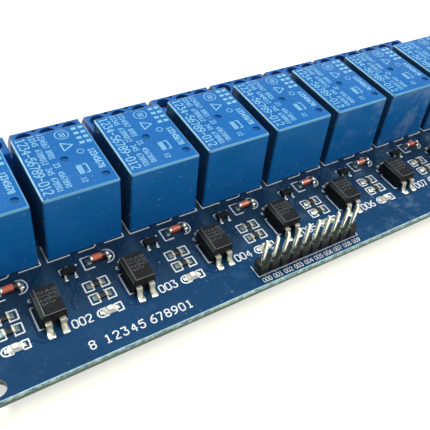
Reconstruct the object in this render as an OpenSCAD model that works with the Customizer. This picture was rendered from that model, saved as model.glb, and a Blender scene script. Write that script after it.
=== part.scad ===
// Relay module board: a row of sealed relays on one circuit board, with a
// screw terminal block behind each relay and its drive parts in front of it.
// Millimetres, +Z up. The origin is the middle of the board in plan, at the
// level of the tips of the longest pin tails, on which the board stands.
// Front is -Y (the pin header's side), back is +Y (the terminal blocks' side).

/* [Channels] */
// Number of relay channels
channels = 8; // [2:1:8]
// Distance from one relay to the next
channel_pitch = 17; // [16.4:0.1:18.5]

/* [Circuit board] */
// Board left over beyond the channels at each end
board_margin = 1; // [0.8:0.1:4]
// Depth of the board in front of the relays, for the drive parts and the header
control_depth = 23.6; // [22.6:0.1:30]
// Strip of board left behind the terminal blocks
rear_margin = 0.1; // [0:0.1:4]
// Thickness of the board
board_t = 1.6; // [1:0.1:2.4]
// Radius of the board's corners
board_corner_r = 3; // [1:0.1:3.2]
// Diameter of the mounting holes
mount_hole_d = 3.2; // [2.6:0.1:3.4]
// Distance of the mounting holes from the board's ends
mount_inset_x = 3; // [2.6:0.1:3.2]
// Distance of the mounting holes from the board's front and back edges
mount_inset_y = 2.55; // [2.4:0.05:3]
// Length of the longest pin tails below the board
tail_length = 1.9; // [1.7:0.1:3]
// Length of the relays' pin tails below the board
relay_tail_length = 1.6; // [1.3:0.1:1.7]

/* [Relay case] */
// Width of a relay across the row, at its foot
relay_w = 15.4; // [15:0.1:16]
// Depth of a relay from front to back, at its foot
relay_d = 19.1; // [18.9:0.1:20.5]
// Height of a relay without its feet
relay_h = 15.3; // [14.8:0.1:18]
// How far each side leans in from foot to top
case_draft = 0.25; // [0.05:0.05:0.3]
// Wall of the relay case
case_wall = 0.8; // [0.6:0.05:0.85]
// Radius of the case's outer edges
case_edge_r = 0.55; // [0.3:0.05:0.75]
// Diameter of the two round sinks in the case's top
dimple_d = 1.6; // [1:0.1:2]
// Depth of the sinks
dimple_depth = 0.3; // [0.1:0.05:0.4]
// Place of the corner sink, right of the middle of the top
dimple_x = 5.5; // [4.5:0.1:5.8]
// Place of the corner sink, in front of the middle of the top
dimple_y = 6.8; // [5.5:0.1:7.5]

/* [Relay base and pins] */
// Thickness of the relay's base plate
base_t = 1.5; // [1:0.1:1.8]
// Height of the small feet that hold the relay off the board
relay_standoff = 0.25; // [0.1:0.05:0.6]
// Diameter of the relay's feet
relay_foot_d = 1.6; // [1:0.1:2]
// Diameter of the contact pins
contact_pin_d = 1; // [0.8:0.05:1.1]
// Diameter of the coil pins
coil_pin_d = 0.8; // [0.6:0.05:0.9]
// The switched pins stand this far from the common pin, along the relay
contact_pin_span = 14.2; // [13.8:0.1:14.4]
// Distance from the relay's middle line to each switched pin
contact_pin_x = 6.1; // [5.7:0.05:6.1]
// The coil pins stand this far from the common pin, along the relay
coil_pin_span = 2; // [1.8:0.05:2.2]
// Distance from the relay's middle line to each coil pin
coil_pin_x = 6; // [5.7:0.05:6.1]

/* [Relay magnet] */
// Thickness of the L-shaped iron yoke
yoke_t = 1.2; // [0.9:0.05:1.3]
// Width of the yoke and of the armature
yoke_w = 9; // [8:0.1:9.4]
// Diameter of the iron core
core_d = 3.6; // [3.2:0.1:4.2]
// Diameter of the pole face on the core
pole_d = 6.4; // [5:0.1:8]
// Thickness of the pole face
pole_t = 0.6; // [0.4:0.1:0.8]
// Wall of the bobbin's tube
bobbin_wall = 0.65; // [0.4:0.05:0.9]
// Diameter of the bobbin's flanges
bobbin_d = 10.2; // [9.6:0.1:10.4]
// Thickness of the bobbin's flanges
flange_t = 0.8; // [0.6:0.05:1]
// How far the flanges stand out past the copper winding
flange_lip = 0.4; // [0.2:0.05:0.8]

/* [Relay armature and contacts] */
// Thickness of the armature
armature_t = 1; // [0.7:0.05:1.1]
// Angle through which the armature is pulled in
armature_travel = 3; // [1.5:0.1:3.2]
// Thickness of the contact blade on the armature
blade_t = 0.25; // [0.15:0.05:0.3]
// Width of the contact blade
blade_w = 3.6; // [2.8:0.1:5]
// Diameter of the contact buttons
contact_d = 2.2; // [1.6:0.1:2.4]
// Height of the moving contact above and below its blade
contact_h = 0.45; // [0.3:0.05:0.5]
// Thickness of the fixed contacts' brass strips
strip_t = 0.4; // [0.3:0.05:0.5]
// Width of the fixed contacts' brass strips
strip_w = 2; // [1.6:0.1:2.2]

/* [Terminal blocks] */
// Distance between the ways of a terminal block
way_pitch = 5; // [4.9:0.02:5.08]
// Depth of a block
terminal_d = 7.8; // [7.6:0.1:9]
// Height of a block
terminal_h = 10; // [9.6:0.1:12]
// Space between the relays and the blocks
terminal_gap = 2.4; // [1:0.1:5]
// The blocks stand this much closer together than the relays
terminal_squeeze = 0.75; // [0.4:0.05:0.9]
// Depth of the slope over the wire entries
slope_d = 2.2; // [1.6:0.1:2.3]
// Height of the slope over the wire entries
slope_h = 3.6; // [2:0.1:3.8]
// Diameter of the screw wells
well_d = 3.5; // [3.2:0.05:3.8]
// Depth of the screw wells
well_depth = 3; // [2.6:0.1:3.2]
// Width of a wire entry
entry_w = 2.9; // [2.4:0.1:3.1]
// Wall of the housing at the relays' side
housing_front_wall = 0.9; // [0.8:0.1:1.1]
// Wall of the housing round the wire entries
housing_back_wall = 2.8; // [2.5:0.1:3]
// Wall of the housing between two ways
way_wall = 1; // [0.8:0.05:1.1]
// Floor of the screw wells
well_floor = 0.8; // [0.6:0.05:1]
// Room in front of a clamp for the contact's leg
leg_room = 0.9; // [0.8:0.05:1.1]
// Height of the clamps above the board
clamp_lift = 1; // [0.8:0.05:1.2]
// Diameter of a clamp screw's shank
clamp_screw_d = 2.3; // [1.9:0.1:2.5]
// Height of a clamp screw's head
clamp_head_h = 1; // [0.8:0.1:1.8]
// Width of the driver slot in a clamp screw
driver_slot_w = 0.7; // [0.5:0.05:0.9]
// Wall of the brass clamp
clamp_wall = 0.5; // [0.3:0.05:0.6]
// Diameter of a terminal's solder pin
terminal_pin_d = 1; // [0.8:0.05:1.2]

/* [Optocouplers] */
// Width of an optocoupler
opto_w = 4.6; // [4.4:0.1:5]
// Length of an optocoupler's body
opto_l = 6.5; // [6:0.1:6.8]
// Height of an optocoupler
opto_h = 3.5; // [2:0.1:4]
// Bevel along one long top edge
opto_bevel = 0.6; // [0.3:0.05:0.9]
// Distance between the leads on one side
opto_lead_pitch = 2.54; // [2.3:0.02:2.8]
// How far a lead reaches out from the body
opto_reach = 1.75; // [1.3:0.05:1.9]
// Place of an optocoupler, right of its relay's middle
opto_x = 5.66; // [5.4:0.02:5.8]
// Place of its middle, in front of its relay
opto_y = 10.85; // [10.5:0.05:11.2]

/* [Small parts] */
// Length of a transistor's body
transistor_l = 2.9; // [2.6:0.1:3.1]
// Width of a transistor's body
transistor_w = 1.3; // [1.2:0.1:1.5]
// Height of a transistor
transistor_h = 1; // [0.8:0.1:1.2]
// How far a transistor's leads reach out
transistor_reach = 0.55; // [0.45:0.05:0.7]
// Place of a transistor, left of its relay's middle
transistor_x = 5.2; // [5.1:0.05:5.7]
// Place of a transistor, in front of its relay
transistor_y = 4.25; // [3.6:0.05:4.6]
// Length of a glass diode
diode_l = 3.6; // [3.3:0.1:3.9]
// Diameter of a glass diode
diode_d = 1.5; // [1.3:0.05:1.7]
// Place of a diode, right of its relay's middle
diode_x = 1.1; // [0.5:0.05:1.5]
// Place of a diode, in front of its relay
diode_y = 3.45; // [3:0.05:4]
// Length of a chip resistor or chip lamp
chip_l = 2; // [1.8:0.05:2.2]
// Width of a chip resistor or chip lamp
chip_w = 1.25; // [1.1:0.05:1.4]
// Height of a chip resistor
resistor_h = 0.5; // [0.4:0.05:0.6]
// Height of a chip lamp
led_h = 0.8; // [0.7:0.05:1]
// Length of the tinned caps on chips and diodes
cap_l = 0.4; // [0.3:0.05:0.5]
// Place of the chips, left of their relay's middle
chip_x = 1.7; // [1.4:0.05:2]
// Place of the first chip resistor, in front of its relay
chip_y = 8.85; // [8.4:0.05:9]
// Distance from the first chip resistor of a channel to the second
chip_pitch = 2.95; // [2.4:0.05:3.2]
// Distance from the second chip resistor to the chip lamp
lamp_step = 3.5; // [3:0.05:3.6]

/* [Pin headers] */
// Distance between the pins of a header
pin_pitch = 2.54; // [2.5:0.01:2.6]
// Width of a square pin
pin_w = 0.64; // [0.5:0.01:0.7]
// Height of the pins above the board
pin_h = 8.5; // [7:0.1:11]
// Height of the black pin carriers
carrier_h = 2.5; // [2:0.1:3]
// Distance of the pin rows from the board's front edge
header_inset = 3.8; // [3.4:0.05:4.2]
// Place of the signal header along the board
header_x = -2.72; // [-6:0.02:2]
// Distance of the supply header's middle from the board's right end
supply_inset = 21; // [12:0.1:45]
// Thickness of the jumper cap's roof
jumper_roof = 0.7; // [0.5:0.1:1.5]
// Thickness of the brass bridge in the jumper cap
bridge_t = 0.2; // [0.15:0.05:0.3]

/* [Solder] */
// Height of a solder joint below the board
solder_h = 1.1; // [0.6:0.05:1.2]
// How far a solder joint spreads round its pin
solder_spread = 0.45; // [0.3:0.05:0.5]

/* [Clearances] */
// Space round a pin in the board
hole_clear = 0.12; // [0.06:0.01:0.2]
// Space round a piece that is held in another
fit_clear = 0.05; // [0.03:0.01:0.08]
// Space round a piece that is dropped loosely into another
loose_clear = 0.12; // [0.08:0.01:0.2]

/* [Hidden] */
$fn = 48;
SIGNAL_PINS = 10;
SUPPLY_PINS = 3;
WAYS = 3;

terminal_w = WAYS * way_pitch;
board_w = channels * channel_pitch + 2 * board_margin;
board_d = control_depth + relay_d + terminal_gap + terminal_d + rear_margin;
board_z = tail_length;
top_z = board_z + board_t;
relay_front_y = board_d / 2 - rear_margin - terminal_d - terminal_gap - relay_d;
relay_y = relay_front_y + relay_d / 2;
relay_z = top_z + relay_standoff;
terminal_y = board_d / 2 - rear_margin - terminal_d;
terminal_pitch = channel_pitch - terminal_squeeze;
header_y = header_inset - board_d / 2;
supply_x = board_w / 2 - supply_inset;

// Inside the relay: heights from the case's foot, from the top downwards
room_w = relay_w - 2 * case_wall;
room_d = relay_d - 2 * case_wall;
room_top = relay_h - case_wall;
rivet_h = 0.3;
top_room = 0.3;
contact_y = contact_pin_span / 2 - 0.5;
yoke_back_y = -room_d / 2 + case_draft + 0.35;
reach_to_contact = contact_y - yoke_back_y;
button_top = armature_t + blade_t + contact_h;
button_rise = (reach_to_contact + contact_d / 2) * sin(armature_travel)
    + button_top * cos(armature_travel);
hinge_z = room_top - top_room - strip_t - rivet_h - fit_clear - button_rise;
pole_z = hinge_z - fit_clear;
yoke_z = base_t;
bobbin_z = yoke_z + yoke_t;
bobbin_h = pole_z - pole_t - bobbin_z;
core_y = yoke_back_y + yoke_t + 0.2 + bobbin_d / 2;
armature_l = core_y + pole_d / 2 + 0.4 - yoke_back_y;
common_pin_y = -contact_pin_span / 2;
coil_pin_y = common_pin_y + coil_pin_span;
ear_d = 2.4;
upper_strip_z = room_top - top_room - strip_t;
lower_contact_z = hinge_z + armature_t - contact_h - fit_clear;

// Inside a terminal way: heights from the board's top, depths from the front
chamber_d = terminal_d - housing_front_wall - housing_back_wall;
chamber_w = way_pitch - way_wall;
chamber_h = terminal_h - well_depth - well_floor;
clamp_y = housing_front_wall + leg_room;
clamp_d = chamber_d - leg_room - loose_clear;
clamp_w = chamber_w - 2 * loose_clear;
clamp_h = chamber_h - clamp_lift - loose_clear;
plate_t = 0.6;
plate_w = clamp_w - 2 * clamp_wall - 2 * loose_clear;
plate_z = chamber_h - loose_clear - clamp_wall - loose_clear - plate_t;
screw_y = clamp_y + clamp_d / 2;
head_z = chamber_h + well_floor + fit_clear;

SMALL_ROUND = 24;

// The jumper's bridge lies on the tips of the pins, above the carrier
bridge_z = pin_h - carrier_h;

function relay_x(k) = (k - (channels + 1) / 2) * channel_pitch;
function terminal_x(k) = (k - (channels + 1) / 2) * terminal_pitch;
function way_x(i) = (i - (WAYS - 1) / 2) * way_pitch;
function pin_x(i, count) = (i - (count - 1) / 2) * pin_pitch;

CONTACT_PINS = [
    [0, common_pin_y],
    [-contact_pin_x, common_pin_y + contact_pin_span],
    [contact_pin_x, common_pin_y + contact_pin_span]
];
COIL_PINS = [[-coil_pin_x, coil_pin_y], [coil_pin_x, coil_pin_y]];

// ---------------------------------------------------------------- helpers

// Puts the children at every relay, with the relay's foot at z = 0
module at_relays() {
    for (k = [1 : channels]) at_relay(k) children();
}

module at_relay(k) {
    translate([relay_x(k), relay_y, relay_z]) children();
}

// Puts the children on the board in front of every relay's front face
module on_board(x, forward) {
    for (k = [1 : channels])
        translate([relay_x(k) + x, relay_front_y - forward, top_z]) children();
}

// Puts the children at every way of every block, with y = 0 at its front
module at_ways() {
    for (k = [1 : channels]) for (i = [0 : WAYS - 1])
        translate([terminal_x(k) + way_x(i), terminal_y, top_z]) children();
}

// A box that is centred in plan and stands on z = 0
module block(w, d, h) {
    translate([-w / 2, -d / 2, 0]) cube([w, d, h]);
}

module rounded_plate(w, d, h, r) {
    block(w - 2 * r, d, h);
    block(w, d - 2 * r, h);
    for (x = [-1, 1], y = [-1, 1])
        translate([x * (w / 2 - r), y * (d / 2 - r), 0]) cylinder(r = r, h = h);
}

// A moulded body: its sides lean in above and below the parting line
module moulded_body(w, d, h, part_z, lean) {
    intersection() {
        rotate([90, 0, 0]) linear_extrude(height = 2 * d, center = true)
            moulded_outline(w, h, part_z, lean);
        rotate([90, 0, 90]) linear_extrude(height = 2 * w, center = true)
            moulded_outline(d, h, part_z, lean);
    }
}

module moulded_outline(w, h, part_z, lean) {
    polygon([
        [-w / 2 + lean, 0], [w / 2 - lean, 0], [w / 2, part_z],
        [w / 2 - lean, h], [-w / 2 + lean, h], [-w / 2, part_z]
    ]);
}

// A bent lead that leaves a body at y = 0 and stands on z = 0
module bent_lead(w, t, from_z, reach) {
    shoulder = reach * 0.3;
    heel = reach * 0.42;
    rotate([90, 0, 90]) linear_extrude(height = w, center = true) polygon([
        [0, from_z], [shoulder, from_z], [heel, 0], [reach, 0],
        [reach, t], [heel + t, t], [shoulder + t, from_z + t], [0, from_z + t]
    ]);
}

// A square pin with pointed ends, from z = bottom to z = top
module square_pin(bottom, top) {
    intersection() {
        rotate([90, 0, 0]) linear_extrude(height = 2 * pin_w, center = true)
            pin_outline(bottom, top);
        rotate([90, 0, 90]) linear_extrude(height = 2 * pin_w, center = true)
            pin_outline(bottom, top);
    }
}

module pin_outline(bottom, top) {
    half = pin_w / 2;
    tip = half * 0.45;
    point = pin_w * 0.8;
    polygon([
        [-tip, bottom], [tip, bottom], [half, bottom + point], [half, top - point],
        [tip, top], [-tip, top], [-half, top - point], [-half, bottom + point]
    ]);
}

// ------------------------------------------------------------ circuit board

module circuit_board() {
    color("midnightblue") difference() {
        translate([0, 0, board_z]) rounded_plate(board_w, board_d, board_t, board_corner_r);
        for (x = [-1, 1], y = [-1, 1])
            translate([x * (board_w / 2 - mount_inset_x), y * (board_d / 2 - mount_inset_y), 0])
                board_hole(mount_hole_d);
        at_relays() {
            for (p = CONTACT_PINS) translate(p) board_hole(contact_pin_d + 2 * hole_clear);
            for (p = COIL_PINS) translate(p) board_hole(coil_pin_d + 2 * hole_clear);
        }
        at_ways() translate([0, screw_y, 0]) board_hole(terminal_pin_d + 2 * hole_clear);
        at_header_pins(header_x, SIGNAL_PINS) board_hole(pin_w * sqrt(2) + 2 * hole_clear);
        at_header_pins(supply_x, SUPPLY_PINS) board_hole(pin_w * sqrt(2) + 2 * hole_clear);
    }
}

// A hole that runs well past both faces of the board
module board_hole(d) {
    translate([0, 0, -4 * board_t - relay_standoff]) cylinder(d = d, h = 12 * board_t);
}

// ------------------------------------------------------------------- relays

module relay_case(k) {
    color("royalblue") at_relay(k) difference() {
        drafted_shell(relay_w, relay_d, relay_h, case_edge_r);
        translate([0, 0, -1]) drafted_room();
        for (p = [[0, 0], [dimple_x, -dimple_y]])
            translate([p.x, p.y, relay_h - dimple_depth]) cylinder(d = dimple_d, h = 1);
    }
}

// The case's outside: leaning sides, rounded upright edges and a rounded top
module drafted_shell(w, d, h, r) {
    hull() for (x = [-1, 1], y = [-1, 1]) {
        translate([x * (w / 2 - r), y * (d / 2 - r), 0]) cylinder(r = r, h = 0.1, $fn = 24);
        translate([x * (w / 2 - r - case_draft), y * (d / 2 - r - case_draft), h - r])
            sphere(r = r, $fn = 24);
    }
}

// The room inside the case, which leans in with the walls and starts 1 below the foot
module drafted_room() {
    hull() {
        block(room_w, room_d, 1);
        translate([0, 0, room_top])
            block(room_w - 2 * case_draft, room_d - 2 * case_draft, 1);
    }
}

module relay_base(k) {
    w = room_w - 2 * case_draft * base_t / relay_h - 2 * fit_clear;
    d = room_d - 2 * case_draft * base_t / relay_h - 2 * fit_clear;
    color("darkslategray") at_relay(k) difference() {
        union() {
            block(w, d, base_t);
            for (x = [-1, 1], y = [-1, 1])
                translate([x * w / 4, y * (d / 2 - relay_foot_d / 2 - 0.2), -relay_standoff])
                    cylinder(d = relay_foot_d, h = relay_standoff + base_t / 2, $fn = SMALL_ROUND);
        }
        for (p = CONTACT_PINS) translate(p) base_hole(contact_pin_d);
        for (p = COIL_PINS) translate(p) base_hole(coil_pin_d);
    }
}

module base_hole(pin_d) {
    translate([0, 0, -1]) cylinder(d = pin_d + 2 * fit_clear, h = base_t + 2);
}

module relay_yokes() {
    leg_l = core_y + core_d / 2 + 1.2 - yoke_back_y;
    color("silver") at_relays() difference() {
        translate([-yoke_w / 2, yoke_back_y, yoke_z]) {
            cube([yoke_w, leg_l, yoke_t]);
            cube([yoke_w, yoke_t, pole_z - yoke_z]);
        }
        translate([0, core_y, 0]) cylinder(d = neck_d() + 2 * fit_clear, h = bobbin_z + 0.01);
    }
}

// The core's lower end is a thinner neck that is riveted into the yoke
function neck_d() = core_d - 0.8;

module relay_cores() {
    neck = neck_d() / 2;
    color("gainsboro") at_relays() translate([0, core_y, 0]) rotate_extrude() polygon([
        [0, yoke_z], [neck, yoke_z], [neck, bobbin_z], [core_d / 2, bobbin_z],
        [core_d / 2, pole_z - pole_t], [pole_d / 2, pole_z - pole_t],
        [pole_d / 2, pole_z], [0, pole_z]
    ]);
}

module relay_bobbins() {
    bore = core_d / 2 + fit_clear;
    tube = bore + bobbin_wall;
    rim = bobbin_d / 2;
    color("ivory") at_relays() difference() {
        union() {
            translate([0, core_y, bobbin_z]) rotate_extrude() polygon([
                [bore, 0], [rim, 0], [rim, flange_t], [tube, flange_t],
                [tube, bobbin_h - flange_t], [rim, bobbin_h - flange_t],
                [rim, bobbin_h], [bore, bobbin_h]
            ]);
            translate([0, core_y, bobbin_z]) bobbin_ears();
        }
        for (p = COIL_PINS)
            translate([p.x, p.y, bobbin_z - 1]) cylinder(d = coil_pin_d + 2 * fit_clear, h = flange_t + 2);
    }
}

// Two ears on the lower flange, each round a coil pin
module bobbin_ears() {
    ear_out = coil_pin_x + coil_pin_d / 2 + fit_clear + 0.2;
    ear_in = bobbin_d / 2 - 2;
    for (x = [-1, 1])
        translate([x * (ear_out + ear_in) / 2, coil_pin_y - core_y, 0])
            block(ear_out - ear_in, ear_d, flange_t);
}

module relay_windings() {
    inner = core_d / 2 + bobbin_wall + 2 * fit_clear;
    outer = bobbin_d / 2 - flange_lip;
    color("peru") at_relays() translate([0, core_y, bobbin_z + flange_t]) difference() {
        cylinder(r = outer, h = bobbin_h - 2 * flange_t);
        translate([0, 0, -1]) cylinder(r = inner, h = bobbin_h + 2);
    }
}

// The armature rests tilted up and turns down about the yoke's back top edge
module relay_armature(k) {
    color("silver") at_relay(k) translate([0, yoke_back_y, hinge_z])
        rotate([armature_travel, 0, 0]) {
            translate([-yoke_w / 2, 0, 0]) cube([yoke_w, armature_l, armature_t]);
            translate([-blade_w / 2, 0.6, armature_t])
                cube([blade_w, reach_to_contact + contact_d / 2 - 0.6, blade_t]);
            translate([0, reach_to_contact, armature_t - contact_h])
                cylinder(d = contact_d, h = 2 * contact_h + blade_t);
            for (y = [armature_l * 0.3, armature_l * 0.65])
                translate([0, y, armature_t / 2])
                    cylinder(d = blade_w / 3, h = armature_t / 2 + blade_t + rivet_h);
        }
}

module relay_fixed_contacts() {
    color("goldenrod") at_relays() {
        fixed_contact(-1, lower_contact_z - rivet_h - strip_t, 1);
        fixed_contact(1, upper_strip_z, -1);
    }
}

// A pin, an upright strip, an arm to the middle and a button on the arm
module fixed_contact(side, arm_z, faces) {
    arm_end = contact_d / 2;
    arm_l = contact_pin_x + strip_t / 2 + arm_end;
    pin_y = common_pin_y + contact_pin_span;
    depth = contact_y + strip_w / 2;
    button_z = faces > 0 ? arm_z : arm_z - rivet_h;
    translate([side * contact_pin_x, pin_y, -relay_z + board_z - relay_tail_length])
        cylinder(d = contact_pin_d, h = relay_z - board_z + relay_tail_length + base_t + 0.4);
    translate([side * contact_pin_x, (contact_y - strip_w / 2 + pin_y + contact_pin_d / 2) / 2, base_t])
        block(strip_t, pin_y + contact_pin_d / 2 - contact_y + strip_w / 2, arm_z + strip_t - base_t);
    translate([side * (contact_pin_x + strip_t / 2 - arm_l / 2), contact_y, arm_z])
        block(arm_l, strip_w, strip_t);
    translate([0, contact_y, button_z]) cylinder(d = contact_d, h = strip_t + rivet_h);
}

module relay_pins() {
    foot = -relay_z + board_z - relay_tail_length;
    color("silver") at_relays() {
        translate([0, common_pin_y, foot]) cylinder(d = contact_pin_d, h = base_t - foot);
        for (p = COIL_PINS)
            translate([p.x, p.y, foot]) cylinder(d = coil_pin_d, h = bobbin_z + flange_t + 0.8 - foot);
    }
}

// ----------------------------------------------------------- terminal blocks

module terminal_block(k) {
    color("dodgerblue") translate([terminal_x(k), terminal_y, top_z]) difference() {
        union() {
            rotate([90, 0, 90]) linear_extrude(height = terminal_w, center = true)
                terminal_outline();
            translate([terminal_w / 2, 0, 0]) dovetail(0);
        }
        translate([-terminal_w / 2, 0, 0]) dovetail(fit_clear);
        for (i = [0 : WAYS - 1]) translate([way_x(i), 0, 0]) terminal_way();
        for (i = [1 : WAYS - 1]) translate([way_x(i) - way_pitch / 2, 0, 0]) {
            way_groove();
            way_pit();
        }
    }
}

// The block from the side: flat top, and a slope over the wire entries
module terminal_outline() {
    bevel = 0.4;
    polygon([
        [0, 0], [terminal_d, 0], [terminal_d, terminal_h - slope_h],
        [terminal_d - slope_d, terminal_h], [bevel, terminal_h], [0, terminal_h - bevel]
    ]);
}

// The rib that keys one block to the next, and with clear the groove for it
module dovetail(clear) {
    proud = 0.45;
    neck = 0.6 + clear;
    head = 0.9 + clear;
    foot = clear > 0 ? -1 : 0;
    translate([0, terminal_d / 3, foot]) linear_extrude(height = terminal_h * 0.7 - foot)
        polygon([[-0.01, -neck], [proud + clear, -head], [proud + clear, head], [-0.01, neck]]);
}

// What one way is cut away by: chamber, screw well, neck and wire entry
module terminal_way() {
    translate([0, housing_front_wall + chamber_d / 2, -1]) block(chamber_w, chamber_d, chamber_h + 1);
    translate([0, screw_y, terminal_h - well_depth]) cylinder(d = well_d, h = well_depth + 1);
    translate([0, screw_y, clamp_lift]) cylinder(d = clamp_screw_d + 2 * loose_clear, h = terminal_h);
    translate([0, terminal_d, clamp_lift + clamp_wall])
        block(entry_w, 2 * housing_back_wall + 0.2, plate_z - clamp_lift - clamp_wall);
    translate([0, terminal_d, clamp_lift + clamp_wall - 0.25])
        block(entry_w + 0.6, 0.6, plate_z - clamp_lift - clamp_wall + 0.5);
}

// A shallow groove down the entry face and most of the slope, between two ways
module way_groove() {
    depth = 0.45;
    rise = 0.8;
    top = terminal_h - (1 - rise) * slope_h;
    rotate([90, 0, 90]) linear_extrude(height = 0.5, center = true) polygon([
        [terminal_d - depth, -1], [terminal_d + 1, -1], [terminal_d + 1, top],
        [terminal_d - rise * slope_d - depth, top], [terminal_d - depth, terminal_h - slope_h]
    ]);
}

// A small pit in the top, between two ways and close to the slope
module way_pit() {
    width = 0.7;
    length = 0.6;
    depth = 0.8;
    rim = 0.2;
    translate([-width / 2, terminal_d - slope_d - rim - length, terminal_h - depth])
        cube([width, length, depth + 1]);
}

module terminal_screws() {
    head_d = well_d - 2 * loose_clear;
    tip_z = plate_z + plate_t + fit_clear;
    slot_h = clamp_head_h * 0.6;
    color("silver") at_ways() translate([0, screw_y, 0]) difference() {
        union() {
            translate([0, 0, head_z]) cylinder(d = head_d, h = clamp_head_h);
            translate([0, 0, tip_z]) cylinder(d = clamp_screw_d, h = head_z - tip_z + 0.1);
        }
        translate([0, 0, head_z + clamp_head_h - slot_h])
            block(driver_slot_w, head_d + 1, slot_h + 1);
    }
}

module terminal_clamps() {
    color("gold") at_ways() translate([0, clamp_y + clamp_d / 2, clamp_lift]) difference() {
        block(clamp_w, clamp_d, clamp_h);
        translate([0, 0, clamp_wall])
            block(clamp_w - 2 * clamp_wall, clamp_d + 1, clamp_h - 2 * clamp_wall);
        cylinder(d = clamp_screw_d + 2 * fit_clear, h = clamp_h + 1);
    }
}

// The fixed contact: plate in the clamp, leg, foot and solder pin in one piece
module terminal_pins() {
    foot_z = 0.3;
    leg_t = 0.6;
    leg_y = housing_front_wall + loose_clear;
    color("silver") at_ways() {
        translate([-plate_w / 2, leg_y, plate_z]) cube([plate_w, clamp_y + clamp_d - leg_y, plate_t]);
        translate([-plate_w / 2, leg_y, foot_z]) cube([plate_w, leg_t, plate_z + plate_t - foot_z]);
        translate([-plate_w / 2, leg_y, foot_z])
            cube([plate_w, screw_y + terminal_pin_d / 2 - leg_y, clamp_lift - foot_z - loose_clear]);
        translate([0, screw_y, -top_z])
            cylinder(d = terminal_pin_d, h = top_z + foot_z + 0.3, $fn = SMALL_ROUND);
    }
}

// ------------------------------------------------------- parts on the board

module optocouplers() {
    lean = 0.15;
    stand = 0.1;
    color("dimgray") on_board(opto_x, opto_y) translate([0, 0, stand]) difference() {
        moulded_body(opto_w, opto_l, opto_h - stand, opto_h * 0.5, lean);
        translate([-opto_w / 2 + lean, 0, opto_h - stand]) rotate([0, 45, 0])
            cube([opto_bevel * sqrt(2), opto_l + 1, opto_bevel * sqrt(2)], center = true);
        translate([-opto_w / 6, opto_l / 3, opto_h - stand - 0.15])
            cylinder(d = 0.8, h = 1, $fn = SMALL_ROUND);
    }
}

module optocoupler_leads() {
    lead_w = 1.1;
    lead_t = 0.25;
    color("silver") on_board(opto_x, opto_y)
        for (x = [-1, 1], a = [0, 180])
            rotate([0, 0, a]) translate([x * opto_lead_pitch / 2, opto_l / 2 + fit_clear / 2, 0])
                bent_lead(lead_w, lead_t, opto_h * 0.5, opto_reach);
}

module transistors() {
    stand = 0.08;
    color("black") on_board(-transistor_x, transistor_y) translate([0, 0, stand])
        moulded_body(transistor_l, transistor_w, transistor_h - stand, transistor_h / 2, 0.08);
}

module transistor_leads() {
    lead_w = 0.42;
    lead_t = 0.14;
    side = transistor_w / 2 + fit_clear / 2;
    color("silver") on_board(-transistor_x, transistor_y) {
        for (x = [-1, 1]) rotate([0, 0, 180]) translate([x * transistor_l / 3, side, 0])
            bent_lead(lead_w, lead_t, transistor_h / 2, transistor_reach);
        translate([0, side, 0]) bent_lead(lead_w, lead_t, transistor_h / 2, transistor_reach);
    }
}

module diodes() {
    color("orangered") on_board(diode_x, diode_y) translate([0, 0, diode_d / 2])
        rotate([0, 90, 0]) cylinder(d = diode_d - 0.1, h = diode_l - 2 * cap_l, center = true);
}

module diode_caps() {
    color("silver") on_board(diode_x, diode_y) for (x = [-1, 1])
        translate([x * (diode_l - cap_l) / 2, 0, diode_d / 2])
            rotate([0, 90, 0]) cylinder(d = diode_d, h = cap_l, center = true);
}

// A chip's body, which its caps wrap round at both ends
module chip_body(h) {
    skin = 0.04;
    translate([0, 0, skin]) block(chip_l - 2 * skin, chip_w - 2 * skin, h - 2 * skin);
}

module chip_caps(h) {
    difference() {
        for (x = [-1, 1]) translate([x * (chip_l - cap_l) / 2, 0, 0]) block(cap_l, chip_w, h);
        chip_body(h);
    }
}

module at_resistors() {
    for (i = [0, 1]) on_board(-chip_x, chip_y + i * chip_pitch) children();
}

module resistors() {
    color("black") at_resistors() chip_body(resistor_h);
}

module resistor_caps() {
    color("silver") at_resistors() chip_caps(resistor_h);
}

// A chip lamp: a white plate with a clear lens moulded on it between the caps
module leds() {
    plate_h = led_h / 2;
    color("white") on_board(-chip_x, chip_y + chip_pitch + lamp_step) {
        chip_body(plate_h);
        translate([0, 0, plate_h * 0.8])
            moulded_body(chip_l - 2 * cap_l - 0.1, chip_w - 0.1, led_h - plate_h * 0.8, 0.1, 0.1);
    }
}

module led_caps() {
    color("silver") on_board(-chip_x, chip_y + chip_pitch + lamp_step) chip_caps(led_h / 2);
}

// -------------------------------------------------------------- pin headers

module at_header_pins(x, count) {
    for (i = [0 : count - 1])
        translate([x + pin_x(i, count), header_y, top_z]) children();
}

// A pin carrier: an eight-sided block round each pin, all in one moulding
module pin_carrier(x, count) {
    cut = pin_pitch * 0.18;
    half = pin_pitch / 2;
    color("black") difference() {
        union() {
            at_header_pins(x, count) linear_extrude(height = carrier_h) polygon([
                [-half, -half + cut], [-half + cut, -half], [half - cut, -half], [half, -half + cut],
                [half, half - cut], [half - cut, half], [-half + cut, half], [-half, half - cut]
            ]);
        }
        at_header_pins(x, count) translate([0, 0, -1])
            block(pin_w + 2 * fit_clear, pin_w + 2 * fit_clear, carrier_h + 2);
        for (i = [0 : count])
            translate([x + pin_x(i - 0.5, count), header_y, top_z - 0.01])
                block(cut * 2, 2 * pin_pitch, 0.35);
    }
}

module header_carrier() {
    pin_carrier(header_x, SIGNAL_PINS);
}

module header_pins() {
    color("silver") at_header_pins(header_x, SIGNAL_PINS) square_pin(-top_z, pin_h);
}

module supply_carrier() {
    pin_carrier(supply_x, SUPPLY_PINS);
}

module supply_pins() {
    color("silver") at_header_pins(supply_x, SUPPLY_PINS) square_pin(-top_z, pin_h);
}

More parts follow.
